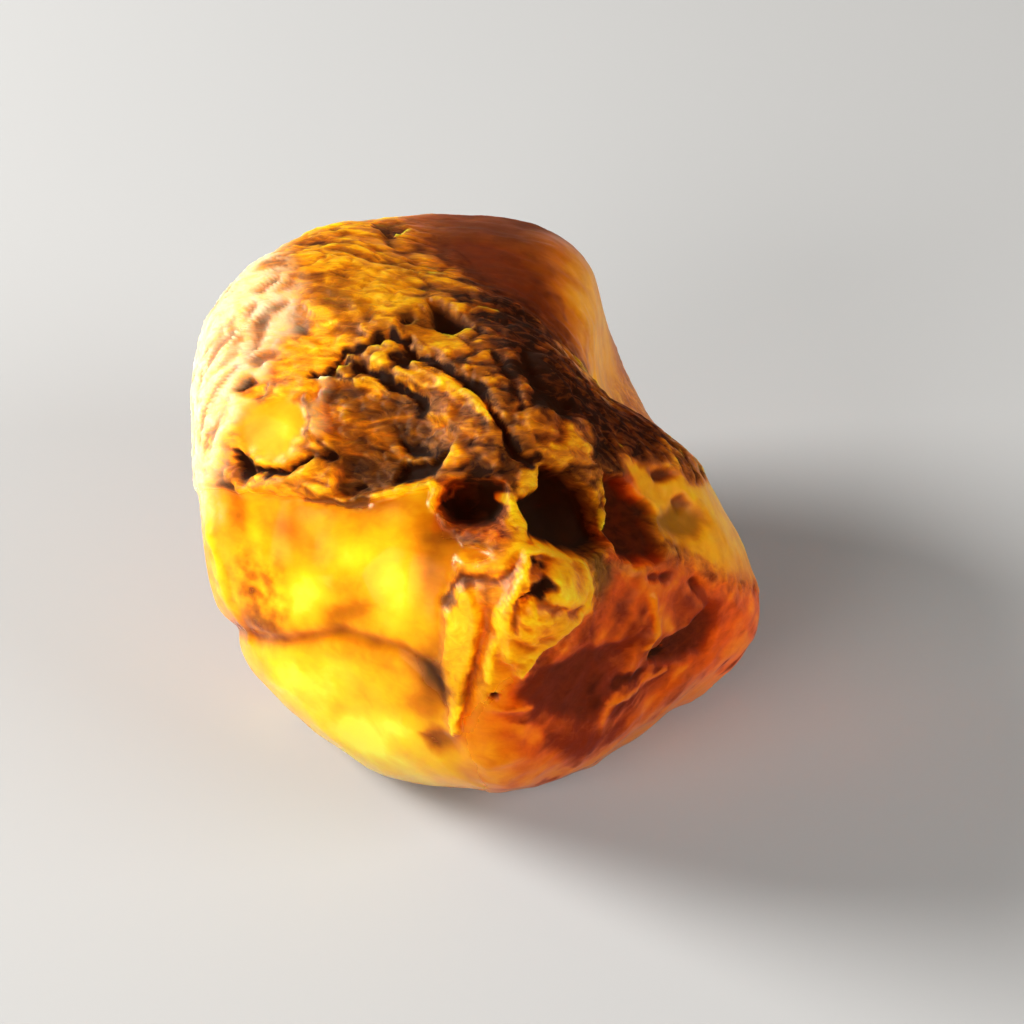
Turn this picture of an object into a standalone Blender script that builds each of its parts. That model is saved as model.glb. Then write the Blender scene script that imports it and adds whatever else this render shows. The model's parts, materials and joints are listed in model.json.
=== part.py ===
"""A raw amber nugget: one solid, worn to soft faces, with a waist behind and hollows in its top.

The stone is described from one point inside it. In every direction the distance to the skin is
worked out from a few worn faces, which blend into each other, and from hollows pressed into them.
Lengths are in millimetres until the mesh is made. The finished mesh is in metres, +Z up, with the
front of the stone towards -Y, its resting flat on Z = 0 and the origin in the middle below it.
"""

import bmesh
import bpy
import numpy as np

MILLIMETRE = 0.001

# Driving dimensions, in millimetres and degrees.
CENTRE_HEIGHT = 17.0  # from the resting flat up to the point that all distances start from
EDGE_CRISPNESS = 15.0  # higher makes the worn faces flatter and the edges between them sharper
GRID_CELLS = 26  # cells along each side of the six patches that cover the stone

# Worn faces: bearing from the front towards the right, tilt above level, distance from the centre.
WORN_FACES = {
    "window": (-34, 28, 20.6),
    "window_belly": (-34, 0, 22.6),
    "red_face": (44, 8, 21.8),
    "red_belly": (42, -22, 25.2),
    "front_foot": (2, -50, 24.3),
    "left_foot": (-44, -40, 24.8),
    "left_belly": (-72, -20, 23.9),
    "left_side": (-90, 4, 23.5),
    "left_shoulder": (-110, 24, 27.6),
    "pale_corner": (-136, 40, 28.9),
    "back_slope": (-178, 50, 30.0),
    "back_knob": (140, 42, 27.2),
    "waist_side": (106, 22, 18.8),
    "right_slope": (68, 46, 18.0),
    "right_brow": (86, 18, 22.8),
    "right_side": (78, -14, 27.8),
    "right_foot": (54, -42, 25.2),
    "crust_top": (-30, 70, 17.6),
    "crown": (150, 72, 17.8),
    "back_left": (-148, 8, 29.0),
    "back_left_foot": (-124, -34, 23.5),
    "back_end": (172, 6, 32.0),
    "back_right": (140, -8, 27.0),
    "back_right_foot": (118, -40, 23.0),
    "back_foot": (176, -38, 26.0),
    "under": (0, -90, 18.6),
}

# Hollows, and swellings with a depth below 0: bearing, tilt, width of the bell, depth.
HOLLOWS = {
    "waist_high": (106, 50, 7.0, 2.4),
    "waist_middle": (122, 30, 8.0, 4.2),
    "waist_low": (136, 8, 9.0, 4.2),
    "eye_pit": (-1, 39, 2.5, 3.0),
    "dark_hollow": (22, 35, 3.4, 3.6),
    "side_hollow": (42, 27, 3.0, 2.0),
    "side_dip": (61, 19, 2.8, 0.9),
    "bark_recess": (-28, 50, 4.2, 1.6),
    "crown_pit": (-110, 82, 2.3, 1.4),
    "curl": (15, 23, 3.2, -1.3),
    "right_corner": (64, -14, 6.0, -1.3),
    "far_knob": (160, 34, 9.0, -1.8),
    "pale_swell": (-106, 26, 6.0, -0.8),
}


def direction(bearing, tilt):
    """Unit vector for a bearing from the front (-Y) towards the right (+X), and a tilt above level."""
    b, t = np.radians(bearing), np.radians(tilt)
    return np.array([np.sin(b) * np.cos(t), -np.cos(b) * np.cos(t), np.sin(t)])


def worn_faces_distance(ways):
    """Distance to the blended faces: each face alone gives distance / cos(angle to it), and a power
    sum of them takes over smoothly from one face to the next."""
    total = np.zeros(len(ways))
    for bearing, tilt, distance in WORN_FACES.values():
        facing = np.clip(ways @ direction(bearing, tilt), 0, None)
        total += (facing / distance) ** EDGE_CRISPNESS
    return total ** (-1 / EDGE_CRISPNESS)


def skin_distance(ways):
    """Distance from the centre to the skin: the worn faces, less each hollow's bell, cut flat below."""
    distance = worn_faces_distance(ways)
    for bearing, tilt, width, depth in HOLLOWS.values():
        middle = direction(bearing, tilt)
        reach = worn_faces_distance(middle[None, :])[0]
        apart = np.linalg.norm(ways * distance[:, None] - middle * reach, axis=1)
        distance = distance - depth * np.exp(-((apart / width) ** 2))
    downwards = np.clip(-ways[:, 2], 1e-9, None)
    return np.minimum(distance, CENTRE_HEIGHT / downwards)


def round_ball():
    """A cube with a grid on each side, its points spread evenly and pushed out to a unit ball."""
    ball = bmesh.new()
    bmesh.ops.create_cube(ball, size=2.0)
    bmesh.ops.subdivide_edges(
        ball, edges=ball.edges[:], cuts=GRID_CELLS - 1, use_grid_fill=True
    )
    for corner in ball.verts:
        corner.co = [np.tan(np.pi / 4 * x) for x in corner.co]
        corner.co.normalize()
    return ball


def make_nugget():
    """The stone's mesh object, with each point of the ball moved out to the skin."""
    ball = round_ball()
    mesh = bpy.data.meshes.new("amber_nugget")
    ball.to_mesh(mesh)
    ball.free()
    ways = np.empty(len(mesh.vertices) * 3)
    mesh.vertices.foreach_get("co", ways)
    ways = ways.reshape(-1, 3)
    ways /= np.linalg.norm(ways, axis=1, keepdims=True)
    places = ways * skin_distance(ways)[:, None]
    footprint = places[:, :2]
    footprint -= (footprint.min(axis=0) + footprint.max(axis=0)) / 2
    places[:, 2] += CENTRE_HEIGHT
    mesh.vertices.foreach_set("co", (places * MILLIMETRE).ravel())
    mesh.update()
    mesh.shade_smooth()
    nugget = bpy.data.objects.new("amber_nugget", mesh)
    bpy.context.scene.collection.objects.link(nugget)
    return nugget


def amber_material():
    """Warm, half-clear resin with a soft gloss."""
    material = bpy.data.materials.new("amber")
    material.use_nodes = True
    shader = material.node_tree.nodes["Principled BSDF"]
    shader.inputs["Base Color"].default_value = (0.80, 0.33, 0.02, 1)
    shader.inputs["Roughness"].default_value = 0.25
    shader.inputs["IOR"].default_value = 1.54
    shader.inputs["Metallic"].default_value = 0.0
    return material


for old in list(bpy.data.objects):
    bpy.data.objects.remove(old)

nugget = make_nugget()
nugget.data.materials.append(amber_material())
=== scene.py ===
# %% [markdown]
# # A raw amber nugget
#
# Amber is tree resin that has hardened over millions of years. A raw lump has three kinds of skin on
# one body: clear windows where it has chipped or worn, a brown and wrinkled crust where it weathered,
# and a pale, chalky rind at its most exposed corner. Light goes in at one side and comes out warmer
# at the other, so thin places look yellow and thick places look red.
#
# The notebook makes it in the order a carver would see it: first the form, then the relief of the
# skin, then the colours, then what is sealed inside, and last the light.

# %% Load the measured stone
import itertools
import json
import math

import bpy
import numpy as np
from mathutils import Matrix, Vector

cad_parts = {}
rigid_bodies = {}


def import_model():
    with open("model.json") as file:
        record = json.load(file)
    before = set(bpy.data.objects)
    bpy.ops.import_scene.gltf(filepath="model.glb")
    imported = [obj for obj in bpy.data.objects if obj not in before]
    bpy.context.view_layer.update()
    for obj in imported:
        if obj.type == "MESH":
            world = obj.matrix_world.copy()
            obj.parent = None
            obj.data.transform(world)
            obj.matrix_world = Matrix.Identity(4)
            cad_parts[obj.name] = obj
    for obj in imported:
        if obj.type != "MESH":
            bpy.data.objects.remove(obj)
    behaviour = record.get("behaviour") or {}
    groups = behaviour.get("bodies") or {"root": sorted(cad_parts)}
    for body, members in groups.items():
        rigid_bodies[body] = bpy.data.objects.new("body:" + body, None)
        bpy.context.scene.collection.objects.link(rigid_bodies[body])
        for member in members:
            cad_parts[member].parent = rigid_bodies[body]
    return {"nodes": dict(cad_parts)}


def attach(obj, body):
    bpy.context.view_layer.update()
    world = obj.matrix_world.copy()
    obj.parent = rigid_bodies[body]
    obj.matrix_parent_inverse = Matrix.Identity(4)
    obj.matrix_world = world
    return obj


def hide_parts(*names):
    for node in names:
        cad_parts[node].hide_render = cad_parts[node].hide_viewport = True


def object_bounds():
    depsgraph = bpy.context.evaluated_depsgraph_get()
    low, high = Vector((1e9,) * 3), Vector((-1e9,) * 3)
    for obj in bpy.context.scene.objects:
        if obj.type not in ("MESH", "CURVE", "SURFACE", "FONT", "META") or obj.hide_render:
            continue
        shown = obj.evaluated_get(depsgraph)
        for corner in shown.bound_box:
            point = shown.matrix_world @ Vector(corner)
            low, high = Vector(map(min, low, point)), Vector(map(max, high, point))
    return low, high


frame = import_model()
cad_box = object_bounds()
print("the stone's box in millimetres:", [round(x * 1000, 1) for corner in cad_box for x in corner])

# %% [markdown]
# The measured solid has the right size and the right large shape, but only coarse facets. It is a
# star-shaped body: from a point in its middle, every direction meets the skin once. So the whole skin
# can be written as one number for each direction, its distance from that heart, and relief is simply
# more or less distance. All lengths below are in millimetres until a mesh is made.

# %% Units and the heart of the stone
MM = 0.001  # metres in a millimetre
HEART = np.array([-0.34, -1.86, 17.0])  # the point that all distances start from
CHART_TILT = 40.0  # the worked face is charted from this far above level, in degrees

chart_right = np.array([1.0, 0.0, 0.0])
chart_up = np.array([0.0, math.sin(math.radians(CHART_TILT)), math.cos(math.radians(CHART_TILT))])
chart_out = np.array([0.0, -math.cos(math.radians(CHART_TILT)), math.sin(math.radians(CHART_TILT))])


def unit(vectors):
    """Each row divided by its own length."""
    return vectors / np.linalg.norm(vectors, axis=-1, keepdims=True)


def smoothstep(values, low, high):
    """0 below low, 1 above high, and 3t^2 - 2t^3 between them."""
    t = np.clip((values - low) / (high - low), 0, 1)
    return t * t * (3 - 2 * t)


# %% [markdown]
# A ball made of rings and segments bunches its points at two poles, and every wrinkle would fan out
# there. A cube blown up into a ball has no poles. Each of its six sides is a grid of two parameters,
# and the tangent spreads the cells evenly. The grid is then drawn a little towards the worked face,
# where the stone has its finest detail.

# %% The ball of directions
CELLS = 128  # cells along each side of the six grids
DRAWN_FORWARD = 0.22  # how far the grid is drawn towards the worked face, as a part of the radius


def ball_of_directions(cells):
    """Unit directions and the faces between them.

    A side's point is (1, tan(pi/4 a), tan(pi/4 b)) for a and b from -1 to 1, turned to each of the six
    sides and divided by its length. Points that two sides share are merged by their whole-number
    places on the cube, so the ball has no seams."""
    steps = np.arange(cells + 1)
    a, b = np.meshgrid(steps, steps, indexing="ij")
    corners = []
    faces = []
    for side, (axis, end) in enumerate(itertools.product(range(3), (0, cells))):
        place = np.empty((cells + 1, cells + 1, 3), int)
        place[..., axis] = end
        place[..., (axis + 1) % 3] = a
        place[..., (axis + 2) % 3] = b
        corners.append(place.reshape(-1, 3))
        number = np.arange((cells + 1) ** 2).reshape(cells + 1, cells + 1) + side * (cells + 1) ** 2
        ring = [number[:-1, :-1], number[1:, :-1], number[1:, 1:], number[:-1, 1:]]
        quads = np.stack(ring, axis=-1).reshape(-1, 4)
        faces.append(quads if end else quads[:, ::-1])
    merged, where = np.unique(np.concatenate(corners), axis=0, return_inverse=True)
    spread = np.tan(math.pi / 4 * (merged * 2 / cells - 1))
    return unit(spread), where.ravel()[np.concatenate(faces)]


ways, quads = ball_of_directions(CELLS)
ways = unit(ways + DRAWN_FORWARD * chart_out)
print("directions:", len(ways), "faces:", len(quads))

# %% [markdown]
# The distance in each direction comes from the measured solid. Its corners lie about three and a half
# degrees apart, so each fine direction takes an average of the corners near it, and a bell-shaped
# weight keeps the facets from showing. The resting flat stays flat: no distance may pass the floor.

# %% The measured form, without its facets
BELL = math.radians(2.1)  # width of the averaging bell
CHUNK = 8192  # directions worked out at a time, to save memory
LEVEL = 1e-9  # the steepness that stands for every way that does not lead down


def measured_reach(directions):
    """Distance from the heart to the measured skin: corners' distances averaged with the weights
    exp(-(angle / BELL)^2 / 2), where 2 - 2 cos(angle) stands for the angle squared."""
    solid = frame["nodes"]["amber_nugget"].data
    corners = np.empty(len(solid.vertices) * 3)
    solid.vertices.foreach_get("co", corners)
    spokes = np.unique(np.round(corners.reshape(-1, 3) / MM, 4), axis=0) - HEART
    lengths = np.linalg.norm(spokes, axis=1)
    spokes = unit(spokes)
    reach = np.empty(len(directions))
    for start in range(0, len(directions), CHUNK):
        turn = 2 - 2 * directions[start : start + CHUNK] @ spokes.T
        weight = np.exp(-turn / (2 * BELL**2))
        reach[start : start + CHUNK] = weight @ lengths / weight.sum(axis=1)
    return reach


def down_to_floor(directions, reach):
    """No distance passes the floor, which is HEART's height divided by how steeply a way leads down."""
    steep = np.clip(-directions[:, 2], LEVEL, None)
    return np.minimum(reach, HEART[2] / steep)


form = down_to_floor(ways, measured_reach(ways))
places = ways * form[:, None]
print("distance from the heart:", form.min().round(1), "to", form.max().round(1), "mm")

# %% [markdown]
# Everything irregular starts from noise. Gradient noise gives each corner of a cubic lattice a random
# slope and blends the eight slopes around a point. A hash, which scrambles the corner's whole numbers,
# replaces a random generator: it gives the same slope for the same corner every time.

# %% Noise on whole arrays
FIRST_PRIME = np.uint32(374761393)
SECOND_PRIME = np.uint32(668265263)
THIRD_PRIME = np.uint32(2246822519)
FOURTH_PRIME = np.uint32(3266489917)
NOISE_GAIN = 1.6  # brings gradient noise up to about -1 to 1
LAYER_STEP, AXIS_STEP = 7, 31  # from one seed to the next, for layers and for the axes of a push
FARTHEST = 9.0  # cells, more than the way to any seed point


def scrambled(corners, seed):
    """Whole-number corners to values from 0 to 1: multiply, add, and fold the bits over twice."""
    x, y, z = corners.astype(np.int64).astype(np.uint32).T
    mixed = x * FIRST_PRIME + y * SECOND_PRIME + z * THIRD_PRIME
    mixed += np.uint32(seed * int(FOURTH_PRIME) % 2**32)
    mixed = (mixed ^ (mixed >> np.uint32(15))) * THIRD_PRIME
    mixed = (mixed ^ (mixed >> np.uint32(13))) * FOURTH_PRIME
    return (mixed ^ (mixed >> np.uint32(16))) / 2.0**32


def noise(points, size, seed):
    """Gradient noise, about -1 to 1, with `size` millimetres from one corner of its lattice to the
    next. Inside a cell the corners' slopes are blended by 6t^5 - 15t^4 + 10t^3."""
    spots = points / size
    low = np.floor(spots)
    inside = spots - low
    ease = inside**3 * (inside * (inside * 6 - 15) + 10)
    total = np.zeros(len(points))
    for corner in itertools.product((0, 1), repeat=3):
        step = np.array(corner)
        share = np.prod(np.where(step, ease, 1 - ease), axis=1)
        slopes = [scrambled(low + step, 3 * seed + axis) * 2 - 1 for axis in range(3)]
        total += share * np.einsum("ij,ji->i", inside - step, np.array(slopes))
    return NOISE_GAIN * total


def layered(points, size, seed, layers=3):
    """Noise, plus half as much at half the size, and so on."""
    parts = [noise(points, size / 2**n, seed + LAYER_STEP * n) / 2**n for n in range(layers)]
    return sum(parts) / sum(0.5**n for n in range(layers))


def ridges(points, size, seed, layers=3):
    """Sharp crests where noise crosses zero: 1 - 2 |noise|, in layers of half size and half height."""
    raw = [noise(points, size / 2**n, seed + LAYER_STEP * n) for n in range(layers)]
    parts = [(1 - 2 * abs(one)) / 2**n for n, one in enumerate(raw)]
    return sum(parts) / sum(0.5**n for n in range(layers))


def plates(points, size, seed):
    """Distance to the nearest seed point and how much further the second one is, in cells. The second
    number is 0 along the borders between plates. Each lattice cube holds one seed point."""
    spots = points / size
    low = np.floor(spots)
    nearest = np.full(len(points), FARTHEST)
    second = np.full(len(points), FARTHEST)
    for corner in itertools.product((-1, 0, 1), repeat=3):
        cell = low + np.array(corner)
        middle = cell + np.stack([scrambled(cell, 3 * seed + axis) for axis in range(3)], axis=1)
        apart = np.linalg.norm(spots - middle, axis=1)
        second = np.minimum(second, np.maximum(nearest, apart))
        nearest = np.minimum(nearest, apart)
    return nearest, second - nearest


def warped(points, size, amount, seed):
    """Points pushed about by noise, up to `amount` millimetres, so that patterns on them wander."""
    push = [layered(points, size, seed + AXIS_STEP * axis, layers=2) for axis in range(3)]
    return points + amount * np.stack(push, axis=1)


# %% [markdown]
# Marks with a known place are laid out on a chart: the worked face seen straight on from forty degrees
# above the table, in millimetres across and up from the heart. A chart is easier to draw on than
# bearings are, and a mark falls onto the stone along the chart's own direction. Marks fade out where
# the skin turns away and on the flat below, so the far side never gets a copy. The chart is bent by
# noise before it is measured, and that is what makes the edges of the marks ragged.

# %% The chart of the worked face
TURNED_AWAY = (-0.42, -0.12)  # marks fade in between these cosines of the angle to the chart's own way
UNDERSIDE = (-0.90, -0.80)  # and between these heights of a way, where -1 leads straight down
RAGGED, RAGGED_SIZE = 0.55, 2.2  # millimetres that the chart is bent by, and across one bend
TORN, TORN_SIZE = 0.45, 1.1  # the same for a finer bend on top of it
SOFT, SOFT_SIZE = 0.5, 6.0  # the same for a slow bend
OFF_THE_CHART = 99.0  # millimetres, farther than any mark reaches


def bend_of_chart(size, seed, layers):
    """Layered noise for each of the chart's two directions."""
    return np.stack([layered(places, size, seed + side, layers) for side in range(2)], axis=1)


worked_side = smoothstep(ways @ chart_out, *TURNED_AWAY) * smoothstep(ways[:, 2], *UNDERSIDE)
chart = np.stack([places @ chart_right, places @ chart_up], axis=1)
rough_chart = chart + RAGGED * bend_of_chart(RAGGED_SIZE, seed=900, layers=3)
torn_chart = rough_chart + TORN * bend_of_chart(TORN_SIZE, seed=905, layers=2)
soft_chart = chart + SOFT * bend_of_chart(SOFT_SIZE, seed=910, layers=1)


def spot(across, up, width, height=None, turn=0.0, on=None, power=2.0):
    """1 at a place on the chart, falling off as exp(-d^power), where d is the distance in half-widths
    of an ellipse that is turned by `turn` degrees."""
    on = rough_chart if on is None else on
    height = width if height is None else height
    c, s = math.cos(math.radians(turn)), math.sin(math.radians(turn))
    x, y = on[:, 0] - across, on[:, 1] - up
    d = np.hypot((x * c + y * s) / width, (y * c - x * s) / height)
    return np.exp(-(d**power)) * worked_side


def distance_to_path(path, on=None):
    """Distance in millimetres on the chart to a line through the path's points."""
    on = rough_chart if on is None else on
    path = np.array(path, float)
    nearest = np.full(len(on), OFF_THE_CHART)
    for start, end in zip(path[:-1], path[1:]):
        along = np.clip((on - start) @ (end - start) / ((end - start) @ (end - start)), 0, 1)
        gap = np.linalg.norm(on - start - along[:, None] * (end - start), axis=1)
        nearest = np.minimum(nearest, gap)
    return nearest + OFF_THE_CHART * (1 - worked_side)


def stroke(path, width, on=None):
    """1 along a path on the chart, falling off as a bell of that width."""
    return np.exp(-((distance_to_path(path, on) / width) ** 2))


def patch(outline, soft=0.4, on=None):
    """1 inside a closed outline on the chart, 0 outside, with an edge of `soft` millimetres each way.

    A point is inside when a line from it, straight to the right, meets the outline an odd number of
    times."""
    on = rough_chart if on is None else on
    outline = np.array(outline, float)
    inside = np.zeros(len(on), bool)
    for start, end in zip(outline, np.roll(outline, -1, axis=0)):
        spans = (start[1] > on[:, 1]) != (end[1] > on[:, 1])
        part = (on[:, 1] - start[1]) / (end[1] - start[1] or 1)
        inside ^= spans & (on[:, 0] < start[0] + part * (end[0] - start[0]))
    gap = distance_to_path([*outline, outline[0]], on)
    return smoothstep(np.where(inside, gap, -gap), -soft, soft) * worked_side


# %% [markdown]
# The stone's skin is not the same all over. Clear windows, a red face, a folded curtain between the
# two, a pale rind and a bark-like crust share it, and each has its own relief and colour. A zone is a
# number from 0 to 1 at every point, so that zones can fade into one another. Each is an outline on the
# chart; an outline that runs past the stone's edge simply covers everything there.

# %% Zones of the skin
RIND_DRIFT = 1.2  # how much more the rind's border follows the slow bend

window = patch(
    [(-30, 1.1), (-17.8, 0.8), (-13.7, 0.3), (-11.2, -0.1), (-8.3, -0.1), (-5.6, 0.7), (-3.6, 1.0),
     (-2.4, -1.6), (-0.4, -3.4), (1.4, -4.0), (1.6, -9.0), (3.0, -13.0), (5.0, -17.0), (8, -19), (10, -30),
     (-30, -30)],
    soft=0.35,
)
small_window = patch(
    [(-18.4, 8.2), (-16.4, 7.9), (-14.6, 8.6), (-13.2, 7.4), (-13.0, 5.9), (-14.0, 4.6), (-14.2, 3.4),
     (-16.2, 2.8), (-18.4, 4.0), (-19.0, 6.0)],
    soft=0.7,
)
red = patch(
    [(0.2, -17.4), (1.6, -15.6), (3.6, -13.6), (6.4, -11.3), (9.4, -8.6), (10.6, -5.4), (13.2, -5.2),
     (15.5, -4.7), (17.6, -5.2), (19.8, -6.6), (26, -8.0), (26, -30), (0.8, -30), (1.2, -24), (0.2, -21.5),
     (-0.6, -19)],
    soft=1.4,
    on=torn_chart,
)
curtain = patch(
    [(-1.0, -5.0), (1.6, -4.4), (3.4, -2.8), (4.4, -2.9), (8.2, -4.0), (9.4, -6.8), (9.2, -8.6),
     (6.4, -11.3), (3.6, -13.6), (1.6, -15.6), (-0.4, -19.4), (-1.8, -18.6), (-2.4, -14), (-2.2, -8)],
    soft=0.55,
)
curtain *= 1 - red
window *= (1 - curtain) * (1 - red)
bark = patch(
    [(-12.9, 9.0), (-11.6, 9.6), (-8.1, 9.2), (-4.6, 7.4), (-2.1, 6.0), (-1.5, 4.6), (-2.2, 3.0),
     (-3.9, 1.6), (-6.2, 0.8), (-8.3, 0.2), (-11.3, 0.2), (-11.0, 2.4), (-10.6, 4.6), (-12.2, 5.6)],
    soft=0.3,
)
bark *= 1 - window
rind = patch(
    [(-40, 40), (-17, 22), (-15.2, 19.4), (-14.3, 16.4), (-15.4, 13.6), (-16.6, 11.2), (-17.8, 9.2),
     (-19.5, 7.4), (-20.6, 4.7), (-21.4, 1.6), (-22.4, -1.5), (-40, -2)],
    soft=1.8,
    on=torn_chart + RIND_DRIFT * (soft_chart - chart),
)
# the right rim is painted pale, partly its own yellow and partly painted light: the glow of light coming out
# through the thin edge
right_rim = patch(
    [(12.0, 3.4), (15.0, 3.2), (17.6, 1.4), (26, 3), (26, -7), (21.0, -6.6), (18.0, -4.6), (15.2, -3.0),
     (14.4, -0.6), (12.6, 0.4)],
    soft=0.7,
)
right_rim *= 1 - red
print("outlined zones cover", [round(100 * zone.mean(), 1) for zone in (window, red, rind)], "% of the ball")

# %% [markdown]
# Three more zones are not outlines. The lobe at the far end and the glow on its right side are caps:
# all the directions within some angle of one. On the sides that the chart does not reach, the stone
# has been worn smoother in large patches, which noise lays out. The crust is whatever is left over.

# %% Caps, worn patches and the crust
FAR_LOBE = unit(np.array([0.34, 0.78, 0.52]))
# LOBE_GLOW marks painted light: a paler, glowing tone on the right end of the far lobe
LOBE_GLOW = unit(np.array([0.64, 0.66, 0.40]))
# the cosines of the angles at which a cap starts and is whole
LOBE_EDGE = (0.78, 0.92)
GLOW_EDGE = (0.84, 0.98)
WORN_PATCH = 13.0  # millimetres across a worn patch
WORN_EDGE = (-0.30, 0.25)  # the values of the noise at which a patch starts and is whole
# how much of the crust's relief each of these zones takes away
SMOOTHED = {"rind": 0.70, "lobe": 0.65, "right_rim": 0.85, "worn": 0.75, "hollow": 0.85}

far_lobe = smoothstep(ways @ FAR_LOBE, *LOBE_EDGE)
lobe_glow = smoothstep(ways @ LOBE_GLOW, *GLOW_EDGE)
crust = (1 - window) * (1 - small_window) * (1 - red) * (1 - curtain)
crust *= (1 - SMOOTHED["rind"] * rind) * (1 - SMOOTHED["right_rim"] * right_rim)
crust *= 1 - SMOOTHED["lobe"] * np.maximum(far_lobe, lobe_glow)
worn = (1 - worked_side) * crust * smoothstep(layered(places, WORN_PATCH, seed=52), *WORN_EDGE)
crust *= 1 - SMOOTHED["worn"] * worn
print(f"the crust covers {100 * crust.mean():.1f}% of the ball")

# %% [markdown]
# Some marks make this stone this one and no other. The largest are outlines on the chart. A hollow is
# where bark or air once sat in the resin: its walls are steep, so it is an outline with a short soft
# edge, and it is dark inside because little light leaves it. Lumps and blobs are outlines too, with a
# height instead of a depth.

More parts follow.
